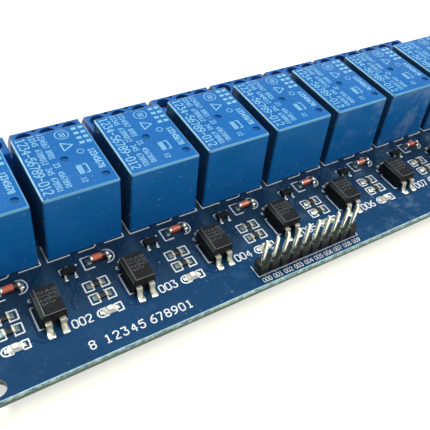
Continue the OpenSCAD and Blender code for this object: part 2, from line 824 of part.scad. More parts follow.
// Puts the children on the carrier between the supply header's first two pins
module at_jumper() {
    translate([supply_x - pin_pitch / 2, header_y, top_z + carrier_h + fit_clear]) children();
}

module jumper_cap() {
    wall = 0.45;
    length = 2 * pin_pitch - 0.2;
    width = pin_pitch - 0.1;
    room_h = bridge_z + bridge_t + fit_clear;
    color("black") at_jumper() difference() {
        rounded_plate(length, width, room_h + jumper_roof, 0.3);
        translate([0, 0, -1]) block(length - 2 * wall, width - 2 * wall, room_h + 1);
        translate([0, 0, -1]) block(length * 0.4, width - 2 * wall, room_h + jumper_roof + 2);
    }
}

// The bridge inside the cap: a strip bent over, which grips both pins from outside
module jumper_contact() {
    foot_z = 0.3;
    grip = pin_w / 2 + fit_clear;
    length = pin_pitch + pin_w;
    color("gold") at_jumper() {
        for (y = [-1, 1]) translate([0, y * (grip + bridge_t / 2), foot_z])
            block(length, bridge_t, bridge_z + bridge_t - foot_z);
        translate([0, 0, bridge_z]) block(length, 2 * grip, bridge_t);
    }
}

// ------------------------------------------------------------------- solder

module solder_joints() {
    foot = relay_z - board_z;
    color("lightgray") {
        at_relays() {
            for (p = CONTACT_PINS) translate([p.x, p.y, -foot]) solder_cone(contact_pin_d);
            for (p = COIL_PINS) translate([p.x, p.y, -foot]) solder_cone(coil_pin_d);
        }
        at_ways() translate([0, screw_y, -board_t]) solder_cone(terminal_pin_d);
        at_header_pins(header_x, SIGNAL_PINS) translate([0, 0, -board_t]) square_solder();
        at_header_pins(supply_x, SUPPLY_PINS) translate([0, 0, -board_t]) square_solder();
    }
}

// Solder hangs from z = 0 round a round pin
module solder_cone(pin_d) {
    bore = pin_d / 2 + fit_clear / 2;
    rotate_extrude($fn = SMALL_ROUND) polygon([
        [bore, 0], [bore, -solder_h], [bore + 0.1, -solder_h],
        [bore + solder_spread * 0.55, -solder_h * 0.45], [bore + solder_spread, 0]
    ]);
}

// Solder hangs from z = 0 round a square pin
module square_solder() {
    outer = pin_w / sqrt(2) + fit_clear;
    bore = pin_w + fit_clear;
    difference() {
        rotate_extrude($fn = SMALL_ROUND) polygon([
            [0, 0], [0, -solder_h], [outer + 0.05, -solder_h],
            [outer + solder_spread * 0.4, -solder_h * 0.45], [outer + solder_spread * 0.7, 0]
        ]);
        translate([0, 0, -solder_h - 1]) block(bore, bore, solder_h + 2);
    }
}

// -------------------------------------------------------------------- nodes

circuit_board();
for (k = [1 : channels]) {
    relay_case(k);
    relay_base(k);
    relay_armature(k);
    terminal_block(k);
}
relay_bobbins();
relay_windings();
relay_cores();
relay_yokes();
relay_fixed_contacts();
relay_pins();
terminal_screws();
terminal_clamps();
terminal_pins();
optocouplers();
optocoupler_leads();
transistors();
transistor_leads();
diodes();
diode_caps();
resistors();
resistor_caps();
leds();
led_caps();
header_carrier();
header_pins();
supply_carrier();
supply_pins();
jumper_cap();
jumper_contact();
solder_joints();
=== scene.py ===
import math

import bmesh
import bpy
from mathutils import Matrix, Vector


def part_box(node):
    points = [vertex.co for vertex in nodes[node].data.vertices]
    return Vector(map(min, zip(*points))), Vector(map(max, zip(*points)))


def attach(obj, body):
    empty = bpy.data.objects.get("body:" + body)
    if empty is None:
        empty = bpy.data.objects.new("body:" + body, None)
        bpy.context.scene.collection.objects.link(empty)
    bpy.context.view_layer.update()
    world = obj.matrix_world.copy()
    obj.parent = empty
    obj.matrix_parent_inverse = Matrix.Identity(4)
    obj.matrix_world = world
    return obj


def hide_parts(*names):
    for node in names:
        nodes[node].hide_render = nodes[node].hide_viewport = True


# Relay module board: one long circuit board with a row of sealed relays, a
# screw terminal block behind each relay, and its drive parts in front of it.
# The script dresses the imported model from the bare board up, and then lights it.
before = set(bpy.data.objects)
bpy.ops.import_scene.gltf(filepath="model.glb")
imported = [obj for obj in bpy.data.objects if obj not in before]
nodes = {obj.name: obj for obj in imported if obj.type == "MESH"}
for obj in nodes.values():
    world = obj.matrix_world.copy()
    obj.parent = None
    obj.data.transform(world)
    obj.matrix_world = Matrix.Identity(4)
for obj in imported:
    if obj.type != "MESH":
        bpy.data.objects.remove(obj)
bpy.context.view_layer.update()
MM = 0.001

# ---------------------------------------------------------------- bare board
# A 1.6 mm glass-fibre laminate under a blue solder mask. Its sawn edge shows the bare, chipped
# laminate, painted pale above as if lit and painted dark below as shade.
board_low, board_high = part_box("circuit_board")


def linear(red, green, blue):
    """A colour as it shows on a screen, 0 to 255, as the shader needs it."""
    def one(value):
        value /= 255
        return value / 12.92 if value <= 0.04045 else ((value + 0.055) / 1.055) ** 2.4
    return (one(red), one(green), one(blue), 1)


def group_of(name, inputs, outputs):
    """An empty shader node group with float, colour or vector sockets."""
    tree = bpy.data.node_groups.new(name, "ShaderNodeTree")
    for label, kind, default in inputs:
        socket = tree.interface.new_socket(label, in_out="INPUT", socket_type=kind)
        if default is not None:
            socket.default_value = default
    for label, kind in outputs:
        tree.interface.new_socket(label, in_out="OUTPUT", socket_type=kind)
    return tree, tree.nodes.new("NodeGroupInput").outputs, tree.nodes.new("NodeGroupOutput").inputs


def feed(tree, socket, value):
    """Links a socket to another node's output, or sets it to a plain value."""
    if isinstance(value, bpy.types.NodeSocket):
        tree.links.new(value, socket)
    else:
        socket.default_value = value


def math_of(tree, operation, *values):
    """The result of one step of arithmetic."""
    node = tree.nodes.new("ShaderNodeMath")
    node.operation = operation
    for socket, value in zip(node.inputs, values):
        feed(tree, socket, value)
    return node.outputs[0]


def axes_of(tree, vector):
    """The three parts of a vector, by the names X, Y and Z."""
    node = tree.nodes.new("ShaderNodeSeparateXYZ")
    feed(tree, node.inputs[0], vector)
    return node.outputs


def noise_of(tree, vector, scale, detail=2, roughness=0.5):
    """Cloudy noise round 0.5."""
    node = tree.nodes.new("ShaderNodeTexNoise")
    for label, value in (("Vector", vector), ("Scale", scale), ("Detail", detail), ("Roughness", roughness)):
        feed(tree, node.inputs[label], value)
    return node.outputs["Fac"]


def ramp_of(tree, value, low, high, bottom=0, top=1, curve="LINEAR"):
    """Runs from bottom to top while the value runs from low to high."""
    node = tree.nodes.new("ShaderNodeMapRange")
    node.interpolation_type = curve
    for label, given in (("Value", value), ("From Min", low), ("From Max", high),
                         ("To Min", bottom), ("To Max", top)):
        feed(tree, node.inputs[label], given)
    return node.outputs["Result"]


def blend_of(tree, share, first, second, kind="MIX"):
    """A colour that goes from the first to the second as the share goes from 0 to 1."""
    node = tree.nodes.new("ShaderNodeMix")
    node.data_type = "RGBA"
    node.blend_type = kind
    for label, value in (("Factor", share), ("A", first), ("B", second)):
        feed(tree, node.inputs[label], value)
    return node.outputs["Result"]


def build_surface_group():
    """Fine grain, slow changes of tone and light dust, for every finish here."""
    tree, given, out = group_of(
        "surface life",
        [("Vector", "NodeSocketVector", None), ("Color", "NodeSocketColor", (0.5, 0.5, 0.5, 1)),
         ("Tone", "NodeSocketFloat", 0.1), ("Tone Scale", "NodeSocketFloat", 200.0),
         ("Grain Scale", "NodeSocketFloat", 4000.0), ("Grain Depth", "NodeSocketFloat", 0.1),
         ("Roughness", "NodeSocketFloat", 0.4), ("Dust", "NodeSocketFloat", 0.0),
         ("Dust Color", "NodeSocketColor", (0.6, 0.7, 0.75, 1))],
        [("Color", "NodeSocketColor"), ("Roughness", "NodeSocketFloat"), ("Normal", "NodeSocketVector")])
    slow = noise_of(tree, given["Vector"], given["Tone Scale"], detail=4)
    swing = math_of(tree, "SUBTRACT", slow, 0.5)
    toned = blend_of(tree, 1, given["Color"], math_of(tree, "MULTIPLY_ADD", swing, given["Tone"], 1),
                     kind="MULTIPLY")
    specks = ramp_of(tree, noise_of(tree, given["Vector"], 1100, detail=5, roughness=0.75), 0.63, 0.71)
    feed(tree, out["Color"], blend_of(tree, math_of(tree, "MULTIPLY", specks, given["Dust"]),
                                      toned, given["Dust Color"]))
    gloss = math_of(tree, "MULTIPLY_ADD", swing, 0.25, given["Roughness"])
    gloss.node.use_clamp = True
    feed(tree, out["Roughness"], gloss)
    bump = tree.nodes.new("ShaderNodeBump")
    bump.inputs["Distance"].default_value = 0.03 * MM
    feed(tree, bump.inputs["Strength"], given["Grain Depth"])
    feed(tree, bump.inputs["Height"], noise_of(tree, given["Vector"], given["Grain Scale"]))
    feed(tree, out["Normal"], bump.outputs["Normal"])
    return tree


surface_life = build_surface_group()


def finish_named(name, color, roughness, metallic=0.0, tone=0.15, tone_scale=200, grain=0.15,
                 grain_scale=4000, dust=0.0, coat=0.0, shine=0.5):
    """A finish with its own colour, gloss, grain and dust. Returns it with its group node and shader."""
    finish = bpy.data.materials.new(name)
    finish.use_nodes = True
    tree = finish.node_tree
    shader = tree.nodes["Principled BSDF"]
    life = tree.nodes.new("ShaderNodeGroup")
    life.node_tree = surface_life
    feed(tree, life.inputs["Vector"], tree.nodes.new("ShaderNodeTexCoord").outputs["Object"])
    for label, value in (("Color", color), ("Tone", tone), ("Tone Scale", tone_scale),
                         ("Grain Scale", grain_scale), ("Grain Depth", grain),
                         ("Roughness", roughness), ("Dust", dust)):
        feed(tree, life.inputs[label], value)
    for label, part in (("Base Color", "Color"), ("Roughness", "Roughness"), ("Normal", "Normal")):
        feed(tree, shader.inputs[label], life.outputs[part])
    shader.inputs["Metallic"].default_value = metallic
    shader.inputs["Specular IOR Level"].default_value = shine
    shader.inputs["Coat Weight"].default_value = coat
    shader.inputs["Coat Roughness"].default_value = 0.08
    return finish, life, shader


def dress(node, finish):
    """Gives a CAD node its finish and leaves its mesh alone."""
    mesh = nodes[node].data
    mesh.materials.clear()
    mesh.materials.append(finish)


def build_mask_finish():
    """Blue solder mask on the faces, laminate on the sawn edge and in the holes."""
    front_blue, relay_shadow_blue = linear(20, 66, 106), linear(36, 64, 90)
    finish, life, shader = finish_named("solder mask", front_blue, 0.3, tone=0.5, tone_scale=90,
                                        grain=0.12, grain_scale=1500, dust=0.4, shine=0.07)
    tree = finish.node_tree
    place = tree.nodes.new("ShaderNodeTexCoord").outputs["Object"]
    spot = axes_of(tree, place)
    facing = axes_of(tree, tree.nodes.new("ShaderNodeNewGeometry").outputs["Normal"])
    level = math_of(tree, "GREATER_THAN", math_of(tree, "ABSOLUTE", facing["Z"]), 0.6)

    # painted light on the sawn edge: the upper part is painted pale as if lit, with chips, the lower part
    # dark as shade
    torn = math_of(tree, "MULTIPLY_ADD", noise_of(tree, place, 900, detail=4), 1.6 * MM, spot["Z"])
    lit_upper_share = ramp_of(tree, torn, board_low.z + 1.5 * MM, board_low.z + 1.9 * MM)
    chips = ramp_of(tree, noise_of(tree, place, 1300, detail=6, roughness=0.7), 0.43, 0.57)
    pale = blend_of(tree, chips, linear(92, 136, 158), linear(206, 226, 226))
    laminate = blend_of(tree, lit_upper_share, linear(104, 124, 116), pale)

    # painted shadow: the mask is painted darker near the relays, where their shadow falls, than in front
    relay_shadow_share = ramp_of(tree, spot["Y"], -19 * MM, -13 * MM, curve="SMOOTHSTEP")
    blue = blend_of(tree, relay_shadow_share, front_blue, relay_shadow_blue)

    # handling has left a pale haze of fine scuffs, mostly toward the right end
    scuffs = ramp_of(tree, noise_of(tree, place, 260, detail=8, roughness=0.7), 0.52, 0.74, top=0.5)
    rightward = ramp_of(tree, spot["X"], -30 * MM, 40 * MM, bottom=0.15)
    scuffed = blend_of(tree, math_of(tree, "MULTIPLY", scuffs, rightward), blue, linear(130, 160, 186))
    feed(tree, life.inputs["Color"], scuffed)
    feed(tree, shader.inputs["Base Color"], blend_of(tree, level, laminate, life.outputs["Color"]))
    return finish


solder_mask = build_mask_finish()
dress("circuit_board", solder_mask)

# ------------------------------------------------------------ copper tracks
# Tracks are etched in the copper under the mask and show as faint ridges. They
# run from each relay's coil and optocoupler to its transistor and resistors.
board_top = board_high.z
channels = 8
relay_boxes = [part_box(f"relay_case_{k}") for k in range(1, channels + 1)]
relay_x = [(low.x + high.x) / 2 / MM for low, high in relay_boxes]


def place_piece(name, mesh, finish):
    """A finished mesh becomes a piece that rides on the board."""
    piece = bpy.data.objects.new(name, mesh)
    bpy.context.scene.collection.objects.link(piece)
    mesh.materials.clear()
    mesh.materials.append(finish)
    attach(piece, "board")
    return piece


def stroke_mesh(name, strokes, width, z, flat=0.12):
    """Flat lines with round ends, as (points in mm, closed) pairs, lying at height z in metres."""
    line = bpy.data.curves.new(name, "CURVE")
    line.dimensions = "3D"
    line.bevel_depth = width / 2 * MM
    line.bevel_resolution = 1
    line.use_fill_caps = True
    for points, closed in strokes:
        path = [(Vector(point), 1.0) for point in points]
        # two more points at each open end narrow it to a round tip
        if not closed:
            first = (path[0][0] - path[1][0]).normalized() * width
            last = (path[-1][0] - path[-2][0]).normalized() * width
            path = ([(path[0][0] + first * 0.48, 0.2), (path[0][0] + first * 0.3, 0.8)] + path
                    + [(path[-1][0] + last * 0.3, 0.8), (path[-1][0] + last * 0.48, 0.2)])
        spline = line.splines.new("POLY")
        spline.points.add(len(path) - 1)
        for spot, (point, radius) in zip(spline.points, path):
            spot.co = (point.x * MM, point.y * MM, 0, 1)
            spot.radius = radius
        spline.use_cyclic_u = closed
    carrier = bpy.data.objects.new(name, line)
    bpy.context.scene.collection.objects.link(carrier)
    bpy.context.view_layer.update()
    mesh = bpy.data.meshes.new_from_object(carrier.evaluated_get(bpy.context.evaluated_depsgraph_get()))
    bpy.data.objects.remove(carrier)
    mesh.transform(Matrix.Translation((0, 0, z)) @ Matrix.Diagonal((1, 1, flat, 1)))
    for face in mesh.polygons:
        face.use_smooth = True
    return mesh


def cornered(points, radius=0.12, closed=False, steps=3):
    """The same line with each corner turned on a small radius, so its width stays even."""
    spots = [Vector(point) for point in points]
    turned = []
    count = len(spots)
    for i, spot in enumerate(spots):
        if not closed and i in (0, count - 1):
            turned.append(tuple(spot))
            continue
        before, after = spots[i - 1] - spot, spots[(i + 1) % count] - spot
        room = min(radius, before.length * 0.45, after.length * 0.45)
        start, end = spot + before.normalized() * room, spot + after.normalized() * room
        for step in range(steps + 1):
            t = step / steps
            turned.append(tuple(start * (1 - t) ** 2 + spot * 2 * t * (1 - t) + end * t * t))
    return turned


def track_strokes():
    """The tracks of all channels, as bent lines round each relay's middle."""
    bend_radius = 0.5
    tracks = []
    for x in relay_x:
        tracks += [
            [(x - 4.3, -8.6), (x - 4.3, -9.6), (x - 5.4, -10.7), (x - 5.4, -13.4), (x - 4.6, -14.2)],
            [(x - 6.1, -8.6), (x - 6.1, -12.4), (x - 7.2, -13.5), (x - 7.2, -15.2)],
            [(x + 2.7, -6.4), (x + 4.6, -6.4), (x + 5.6, -5.4), (x + 5.6, -3.2)],
            [(x - 1.5, -6.4), (x - 3.2, -6.4), (x - 3.2, -3.2)],
            [(x - 0.3, -11.75), (x + 1.4, -11.75), (x + 2.2, -12.5), (x + 2.2, -17.6), (x + 3.2, -18.6)],
            [(x - 0.5, -18.2), (x + 1.4, -18.2), (x + 2.6, -19.4), (x + 6.6, -19.4)],
            [(x - 3.4, -11.75), (x - 6.2, -11.75)],
            [(x + 4.4, -8.2), (x + 4.4, -7.2), (x + 7.6, -4.0)],
        ]
    return [(cornered(points, bend_radius), False) for points in tracks]


track_finish, *_ = finish_named("mask over copper", linear(24, 58, 98), 0.3, tone=0.5,
                                tone_scale=150, grain=0.1, grain_scale=1500, dust=0.2, shine=0.07)
place_piece("tracks", stroke_mesh("tracks", track_strokes(), 0.36, board_top, 0.06), track_finish)

# ---------------------------------------------------------------- board rim
# The mask stops a little short of the board's edge all round. The strip of bare
# laminate that is left there shows as a thin pale line, painted bright to stand for the highlight along the
# board's top edge as well.
def ring_points(x, y, radius, start=0, end=360, steps=16):
    """Points on a ring, or on a part of it from one angle to another, in mm."""
    count = steps if end - start == 360 else steps + 1
    angles = [math.radians(start + (end - start) * i / steps) for i in range(count)]
    return [(x + radius * math.cos(angle), y + radius * math.sin(angle)) for angle in angles]


def edge_strokes():
    """The middle line of the rim, with the board's round corners."""
    inset, radius, quarter_steps = 0.13, 3.0, 10
    half_w, half_d = board_high.x / MM - inset, board_high.y / MM - inset
    rim = []
    for sx, sy, start in ((1, -1, -90), (1, 1, 0), (-1, 1, 90), (-1, -1, 180)):
        rim += ring_points(sx * (half_w - radius), sy * (half_d - radius), radius,
                           start, start + 90, quarter_steps)
    return [(rim, True)]


rim_highlight_finish, *_ = finish_named("bare laminate rim highlight", linear(176, 212, 220), 0.5, tone=1.0,
                              tone_scale=1300, shine=0.3)
place_piece("board_rim", stroke_mesh("board_rim", edge_strokes(), 0.26, board_top, 0.15), rim_highlight_finish)

# ------------------------------------------------------------- white legend
# The legend is screen-printed in white ink over the mask: outlines round the
# parts, plain channel numbers, and plain numbers along the front edge.
DIGITS = {
    "0": [[(1, 0), (0, 1), (0, 5), (1, 6), (3, 6), (4, 5), (4, 1), (3, 0), (1, 0)]],
    "1": [[(1, 5), (2.2, 6), (2.2, 0)], [(1, 0), (3.4, 0)]],
    "2": [[(0, 5), (1, 6), (3, 6), (4, 5), (4, 3.8), (0, 0), (4, 0)]],
    "3": [[(0, 6), (4, 6), (2, 3.6), (3, 3.6), (4, 2.6), (4, 1), (3, 0), (1, 0), (0, 1)]],
    "4": [[(3.2, 0), (3.2, 6), (0, 1.8), (4.2, 1.8)]],
    "5": [[(4, 6), (0.4, 6), (0.2, 3.4), (1.2, 3.9), (3, 3.9), (4, 2.9), (4, 1), (3, 0), (1, 0), (0, 1)]],
    "6": [[(3.6, 6), (1.4, 5), (0, 2.8), (0, 1), (1, 0), (3, 0), (4, 1), (4, 2.4), (3, 3.4), (1, 3.4),
           (0, 2.4)]],
    "7": [[(0, 6), (4, 6), (1.4, 0)]],
    "8": [[(1, 3.2), (0, 4.2), (0, 5), (1, 6), (3, 6), (4, 5), (4, 4.2), (3, 3.2), (1, 3.2), (0, 2.2),
           (0, 1), (1, 0), (3, 0), (4, 1), (4, 2.2), (3, 3.2)]],
    "9": [[(0.4, 0), (2.6, 1), (4, 3.2), (4, 5), (3, 6), (1, 6), (0, 5), (0, 3.6), (1, 2.6), (3, 2.6),
           (4, 3.6)]],
    "-": [[(0.6, 3), (3.4, 3)]],
}
relay_front = relay_boxes[0][0].y / MM


def number_strokes(text, corner, height, step, slim, turn=0):
    """Plain figures written from a corner along the turned baseline, in mm, a step apart."""
    unit = height / 6
    turned = Matrix.Rotation(math.radians(turn), 2)
    strokes = []
    for i, sign in enumerate(text):
        for line in DIGITS[sign]:
            points = [Vector((u * unit * slim + i * step, v * unit)) for u, v in line]
            strokes.append((cornered([turned @ p + Vector(corner) for p in points], 0.22 * height), False))
    return strokes


def outline_strokes(x):
    """The printed outlines round one channel's parts."""
    half = (relay_boxes[0][1].x - relay_boxes[0][0].x) / 2 / MM
    y = relay_front - 0.24
    lines = [
        (cornered([(x - half - 0.08, relay_front + 4), (x - half - 0.08, y), (x - 3.6, y)]), False),
        (cornered([(x - 1.75, y - 0.15), (x + 1.35, y - 0.15), (x + 1.85, y + 0.3)]), False),
        (cornered([(x + 3.7, y), (x + half + 0.08, y), (x + half + 0.08, relay_front + 4)]), False),
        # optocoupler
        (cornered([(x + 3.4, -11.7), (x + 2.85, -11.7), (x + 2.85, -16.75), (x + 3.75, -16.75)]), False),
        (ring_points(x + 3.4, -10.1, 0.32, 90, 270, 6), False),
        (ring_points(x + 7.75, -16.6, 0.12, 0, 330, 6), False),
        # transistor
        (cornered([(x - 6.2, -5.85), (x - 6.75, -5.95), (x - 6.7, -7.1)]), False),
        (ring_points(x - 3.35, -5.9, 0.12, 0, 330, 6), False),
        # diode
        (cornered([(x - 0.35, -4.95), (x - 2.2, -4.95), (x - 2.2, -7.95), (x - 0.35, -7.95)]), False),
        (cornered([(x + 2.5, -4.75), (x + 3.5, -4.8), (x + 4.15, -5.9), (x + 4.1, -7.1), (x + 3.3, -7.9),
                   (x + 2.3, -7.95)], 0.5), False),
        (cornered([(x + 2.75, -5.2), (x + 3.3, -5.8), (x + 3.3, -6.9), (x + 2.75, -7.5)], 0.3), False),
    ]
    for top, bottom in ((-10.7, -12.85), (-13.75, -15.9)):
        lines += [
            (cornered([(x - 2.45, top), (x - 4.05, top), (x - 4.05, bottom), (x - 2.45, bottom)]), False),
            (cornered([(x - 0.95, top), (x + 0.65, top), (x + 0.65, bottom), (x - 0.95, bottom)]), False),
            ([(x - 2.45, top), (x - 2.45, bottom)], False),
            ([(x - 0.95, top + 0.1), (x - 0.95, bottom - 0.1)], False),
        ]
    return lines


def lamp_outline(x):
    """The heavier outline round a lamp: round at one end, square at the other."""
    top, bottom = -17.4, -19.15
    return [(cornered([(x - 0.4, top), (x + 0.65, top), (x + 0.65, bottom), (x - 0.4, bottom)], 0.1), False),
            ([(x - 2.3, top), (x - 3.2, top)] + ring_points(x - 3.2, (top + bottom) / 2, (top - bottom) / 2,
                                                            90, 270, 8) + [(x - 2.3, bottom)], False)]


header_low, header_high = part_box("header_carrier")
supply_low, supply_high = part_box("supply_carrier")
signal_pins, supply_pins = 10, 3


def header_strokes():
    """The box round the pin header, its ticks, and the plain numbers under the pins."""
    lines, labels = [], []
    for low, high, count in ((header_low, header_high, signal_pins), (supply_low, supply_high, supply_pins)):
        x0, x1 = low.x / MM - 0.15, high.x / MM + 0.15
        y0, y1 = low.y / MM - 0.15, high.y / MM + 0.15
        lines.append((cornered([(x0, y1), (x0, y0), (x1, y0), (x1, y1)]), False))
        lines.append(([(x0 + 0.02, y0 - 0.05), (x1 - 0.02, y0 - 0.05)], False))
        pitch = (x1 - x0) / count
        for i in range(count):
            middle = x0 + pitch * (i + 0.5)
            lines.append(([(middle, y0 - 0.25), (middle, y0 - 0.05)], False))
            labels += number_strokes(f"{i:03d}", (middle - 0.95, -25.75), 0.95, step=0.7, slim=0.8)
    return lines, labels


def lamp_patch(x):
    """A solid printed bar between a lamp's pads, filled line by line."""
    top, spacing, count = -17.5, 0.22, 7
    rows = [top - spacing * i for i in range(count)]
    return [([(x - 2.85, y), (x - 0.55, y)], False) for y in rows]


outline_lines, label_lines, lamp_lines = [], [], []
for k, x in enumerate(relay_x):
    outline_lines += outline_strokes(x)
    label_lines += number_strokes(f"00{k + 1}", (x - 8.75, -19.05), 1.65, step=1.3, slim=0.85)
    lamp_lines += lamp_outline(x) + lamp_patch(x)
for text, start, step in (("8", -50.2, 1.5), ("12345", -47.4, 1.62), ("678901", -38.7, 1.47)):
    label_lines += number_strokes(text, (start, -24.3), 1.6, step=step, slim=0.88)
legend_ink, *_ = finish_named("legend ink", linear(246, 249, 250), 0.5, tone=0.2, tone_scale=900,
                              grain=0.3, grain_scale=6000)
place_piece("legend_outlines", stroke_mesh("legend_outlines", outline_lines, 0.31, board_top), legend_ink)
place_piece("legend_numbers", stroke_mesh("legend_numbers", label_lines, 0.29, board_top), legend_ink)
place_piece("legend_lamps", stroke_mesh("legend_lamps", lamp_lines, 0.34, board_top, 0.08), legend_ink)
header_lines, header_labels = header_strokes()
place_piece("legend_header", stroke_mesh("legend_header", header_labels, 0.16, board_top), legend_ink)
place_piece("legend_header_box", stroke_mesh("legend_header_box", header_lines, 0.22, board_top), legend_ink)

# ------------------------------------------------------------- sealed relays
# Each relay is a blue moulded box, glued over a base plate with the magnet and
# contacts inside. Two shallow round sinks in the top are marks of its mould.
relay_top = relay_boxes[0][1].z
row_end = relay_boxes[-1][1].x


def smooth_by_angle(shape, degrees=40):
    """Smooth faces, with sharp edges where two faces meet at more than that."""
    for face in shape.faces:
        face.smooth = True
    for edge in shape.edges:
        edge.smooth = edge.calc_face_angle(math.pi) < math.radians(degrees)


def softened(node, edge_mm, finish, keep_short=0.5, segments=2, sharp=35):
    """The CAD node's own shape with its sharp edges broken, which then stands for it."""
    weld_reach, flat_angle = 1e-6, math.radians(0.5)
    shape = bmesh.new()
    shape.from_mesh(nodes[node].data)
    bmesh.ops.remove_doubles(shape, verts=shape.verts, dist=weld_reach)
    bmesh.ops.dissolve_limit(shape, angle_limit=flat_angle, verts=shape.verts, edges=shape.edges)
    if edge_mm:
        worn = [edge for edge in shape.edges
                if len(edge.link_faces) == 2 and edge.calc_length() > keep_short * MM
                and edge.calc_face_angle(0) > math.radians(sharp) and edge.is_convex]
        bmesh.ops.bevel(shape, geom=worn, offset=edge_mm * MM, offset_type="OFFSET", affect="EDGES",
                        segments=segments, profile=0.5, material=-1, clamp_overlap=True)
    smooth_by_angle(shape)
    mesh = bpy.data.meshes.new(node + "_finished")
    shape.to_mesh(mesh)
    shape.free()
    piece = place_piece(node + "_finished", mesh, finish)
    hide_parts(node)


def build_case_finish():
    """Blue plastic with smears on the fronts, painted highlights on the top edges, and painted shade on the
    sink floors and on the walls in the gaps.
    """
    case_blue = linear(19, 108, 182)
    finish, life, _ = finish_named("relay case blue", case_blue, 0.24, tone=0.22, tone_scale=120,
                                   grain=0.2, grain_scale=2600, dust=0.8, shine=0.14)
    tree = finish.node_tree
    place = tree.nodes.new("ShaderNodeTexCoord").outputs["Object"]
    spot = axes_of(tree, place)
    shape = tree.nodes.new("ShaderNodeNewGeometry")
    facing = axes_of(tree, shape.outputs["Normal"])
    face = axes_of(tree, shape.outputs["True Normal"])

    # painted shade: the floors of the sinks in the top lie lower and are painted a little darker
    sink_floor_shade = math_of(tree, "MULTIPLY", math_of(tree, "GREATER_THAN", facing["Z"], 0.95),
                   math_of(tree, "LESS_THAN", spot["Z"], relay_top - 0.08 * MM))
    color = blend_of(tree, sink_floor_shade, case_blue, linear(20, 90, 152))

    # fingers left cloudy smears on the fronts of the relays to the right
    cloud = ramp_of(tree, noise_of(tree, place, 190, detail=6, roughness=0.62), 0.5, 0.72, top=0.5)
    rightward = ramp_of(tree, spot["X"], 8 * MM, 36 * MM)
    front = math_of(tree, "LESS_THAN", facing["Y"], -0.9)
    smear = math_of(tree, "MULTIPLY", math_of(tree, "MULTIPLY", rightward, front), cloud)
    color = blend_of(tree, smear, color, linear(150, 182, 214))

    # painted highlight: the rounded edges of the top, whose faces lean between 0.2 and 0.94, are painted
    # pale
    edge_highlight = math_of(tree, "COMPARE", face["Z"], 0.57, 0.37)
    color = blend_of(tree, math_of(tree, "MULTIPLY", edge_highlight, 0.8), color, linear(122, 188, 226))

    # painted shade: little light gets between the relays, so the walls there are painted darker and duller
    gap_wall_shade = math_of(tree, "GREATER_THAN", math_of(tree, "ABSOLUTE", face["X"]), 0.9)
    inner = math_of(tree, "LESS_THAN", math_of(tree, "ABSOLUTE", spot["X"]), row_end - 1 * MM)
    color = blend_of(tree, math_of(tree, "MULTIPLY", gap_wall_shade, inner), color, linear(42, 86, 126))
    feed(tree, life.inputs["Color"], color)
    return finish


case_finish = build_case_finish()
for k in range(1, channels + 1):
    softened(f"relay_case_{k}", 0, case_finish)

base_finish, *_ = finish_named("relay base blue", linear(24, 70, 120), 0.5, grain=0.3)
iron, *_ = finish_named("plated iron", linear(150, 152, 155), 0.35, metallic=1.0, tone=0.25)
bobbin_finish, *_ = finish_named("bobbin", linear(205, 200, 188), 0.5)
winding, *_ = finish_named("copper winding", linear(170, 84, 40), 0.35, metallic=1.0)
contact_brass, *_ = finish_named("contact brass", linear(190, 152, 84), 0.3, metallic=1.0)
tinned, *_ = finish_named("tinned lead", linear(205, 205, 200), 0.28, metallic=1.0, tone=0.3,
                          tone_scale=1500)
for k in range(1, channels + 1):
    dress(f"relay_base_{k}", base_finish)
    dress(f"relay_armature_{k}", iron)
for node, finish in (("relay_bobbins", bobbin_finish), ("relay_windings", winding),
                     ("relay_cores", iron), ("relay_yokes", iron),
                     ("relay_fixed_contacts", contact_brass), ("relay_pins", tinned)):
    dress(node, finish)

# ---------------------------------------------------------- print on relays
# The top of every relay is pad-printed in pale ink. The print here is plain:
# rows of figures, a ring, a triangle and squares, in the places of the real one.
relay_back = relay_boxes[0][1].y / MM


def top_print(x):
    """The fine and the bold lines of one relay's print, round the middle of its top."""
    y = (relay_front + relay_back) / 2
    fine, bold = [], []
    bold += number_strokes("1234-56789-012", (x - 6.5, y + 8.6), 1.75, step=1.2, turn=-90, slim=0.72)
    for column, groups in ((-4.05, ((8.8, "12345"), (4.4, "6789012"), (-1.4, "345"), (-4.2, "678901"))),
                           (-2.35, ((8.8, "1234567"), (3.4, "8901"), (-0.6, "23"), (-3.0, "4567890")))):
        for start, text in groups:
            fine += number_strokes(text, (x + column, y + start), 1.05, step=0.68, turn=-90, slim=0.62)
    fine.append((ring_points(x + 2.1, y + 7.0, 1.35, steps=20), True))
    fine += number_strokes("00", (x + 1.65, y + 7.55), 1.0, step=0.7, turn=-90, slim=0.8)
    triangle = [(x + 0.9, y + 4.6), (x + 3.0, y + 3.4), (x + 0.9, y + 2.2)]
    bold.append((cornered(triangle, 0.1, closed=True), True))
    for row in range(4):
        for column in range(2):
            u, v = x + 4.9 + column * 1.4, y + 8.0 - row * 1.55
            for lift in (0.26, 0, -0.26):
                bold.append(([(u - 0.4, v + lift), (u + 0.4, v + lift)], False))
    fine.append((ring_points(x + 3.6, y + 1.0, 0.62, steps=14), True))
    bold += number_strokes("12345678", (x + 5.1, y + 0.9), 1.15, step=0.76, turn=-90, slim=0.6)
    for u in (1.35, 1.7, 2.05):
        bold.append(([(x + u, y - 2.7), (x + u, y - 5.1)], False))
    bracket = [(x + 2.6, y - 2.7), (x + 3.2, y - 2.7), (x + 3.2, y - 5.1), (x + 2.6, y - 5.1)]
    bold.append((cornered(bracket, 0.1), False))
    fine += number_strokes("12", (x + 0.9, y - 6.2), 0.95, step=0.7, turn=-90, slim=0.8)
    return fine, bold


fine_lines, bold_lines = [], []
for x in relay_x:
    fine, bold = top_print(x)
    fine_lines += fine
    bold_lines += bold
print_ink, *_ = finish_named("pad print ink", linear(138, 203, 237), 0.5, tone=0.3, tone_scale=1200,
                             grain=0.3, grain_scale=6000)
place_piece("print_fine", stroke_mesh("print_fine", fine_lines, 0.17, relay_top, 0.08), print_ink)
place_piece("print_bold", stroke_mesh("print_bold", bold_lines, 0.26, relay_top, 0.06), print_ink)

